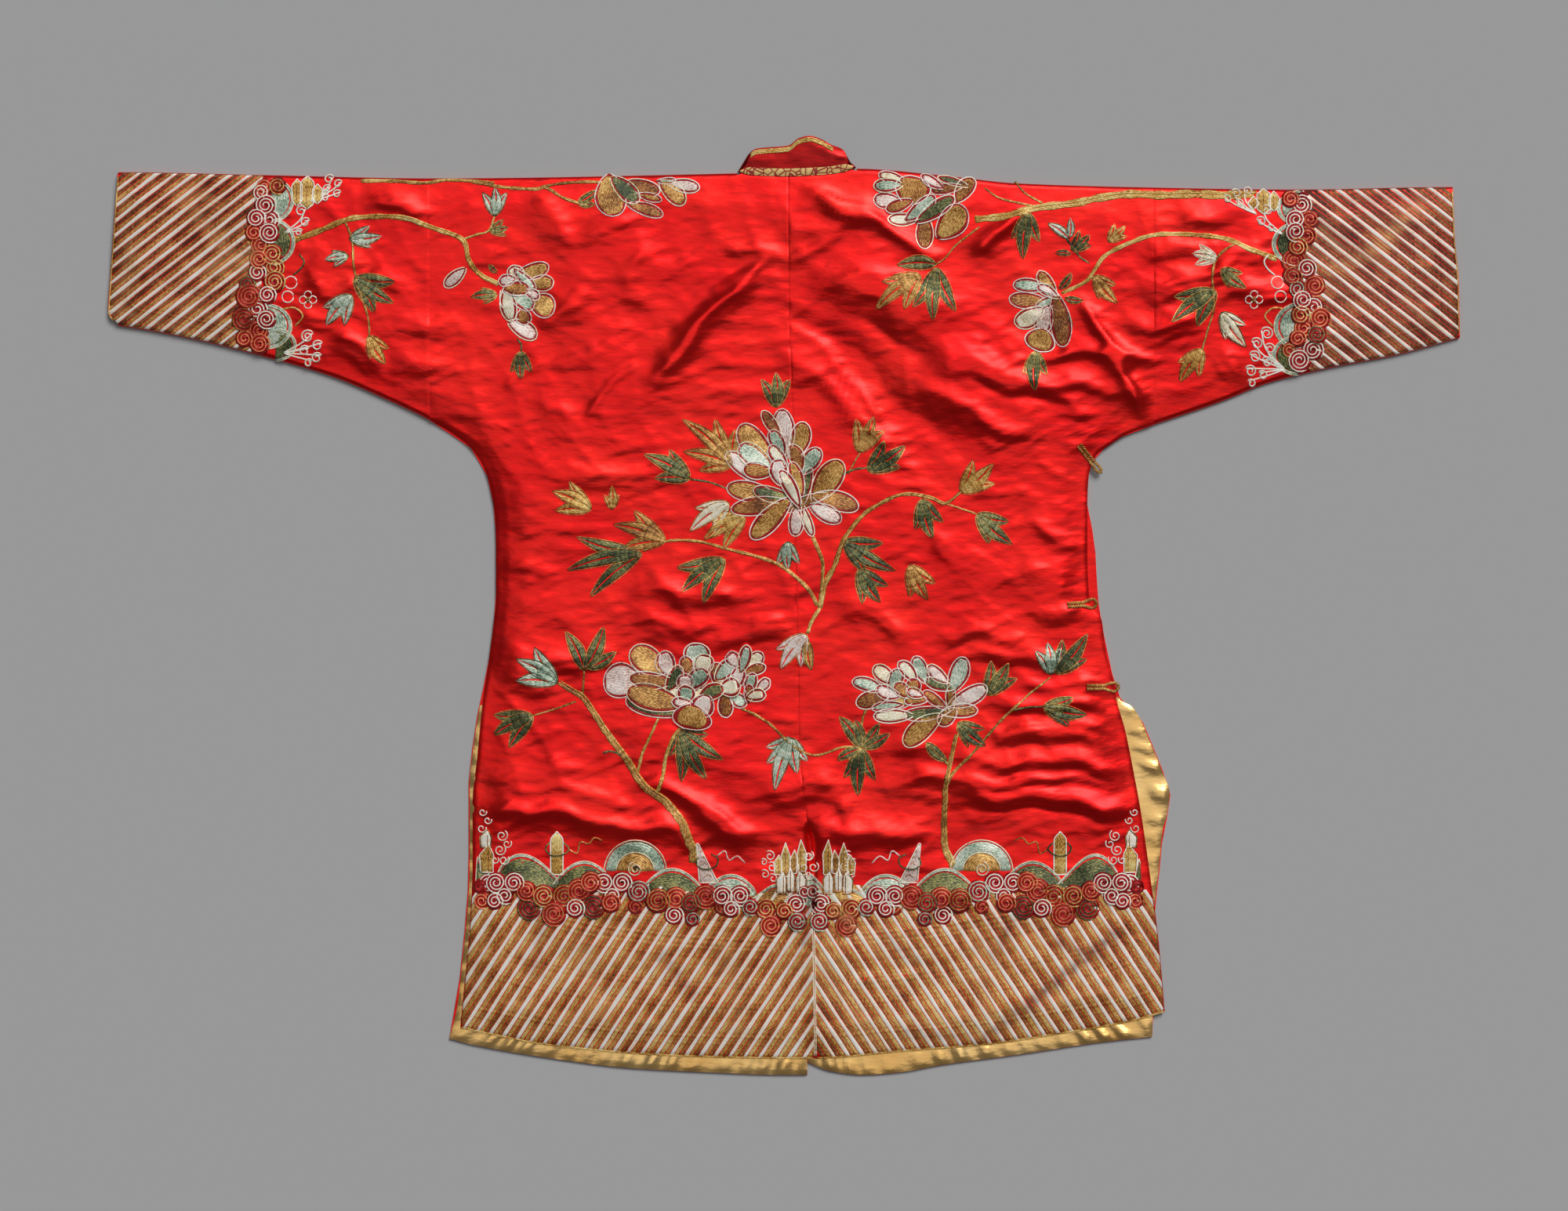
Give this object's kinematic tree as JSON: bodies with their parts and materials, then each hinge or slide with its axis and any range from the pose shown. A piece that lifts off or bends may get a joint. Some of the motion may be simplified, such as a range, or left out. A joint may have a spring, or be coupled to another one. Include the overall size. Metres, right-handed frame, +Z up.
{
  "type": "embroidered silk jacket",
  "caption": "Side-fastening silk jacket laid flat with its back up, with wide straight sleeves, stand collar, side vents and couched borders on hem and cuffs.",
  "frame": {"origin": "middle of the laid-out jacket's outline, on the surface that it lies on", "axes": "+X along the sleeves to the wearer's right, +Y from the hem to the collar, +Z up out of the garment's back"},
  "size_m": [1.328, 0.9232, 0.0165],
  "materials": {
    "satin": "glossy red silk satin",
    "lining": "soft gold silk satin",
    "couching": "couched metallic thread and silk floss",
    "brocade": "woven gold brocade ribbon",
    "cord": "twisted gold cord"
  },
  "bodies": {
    "root": {"body_left": "satin", "body_right": "satin", "front_overlap": "satin", "sleeve_left": "satin", "sleeve_right": "satin", "collar_band": "satin", "collar_base_trim": "brocade", "collar_top_trim": "brocade", "lining_front_left": "lining", "lining_front_right": "lining", "hem_border_left": "couching", "hem_border_right": "couching", "cuff_border_left": "couching", "cuff_border_right": "couching", "loop_1": "cord", "loop_2": "cord", "loop_3": "cord"}
  },
  "joints": []
}
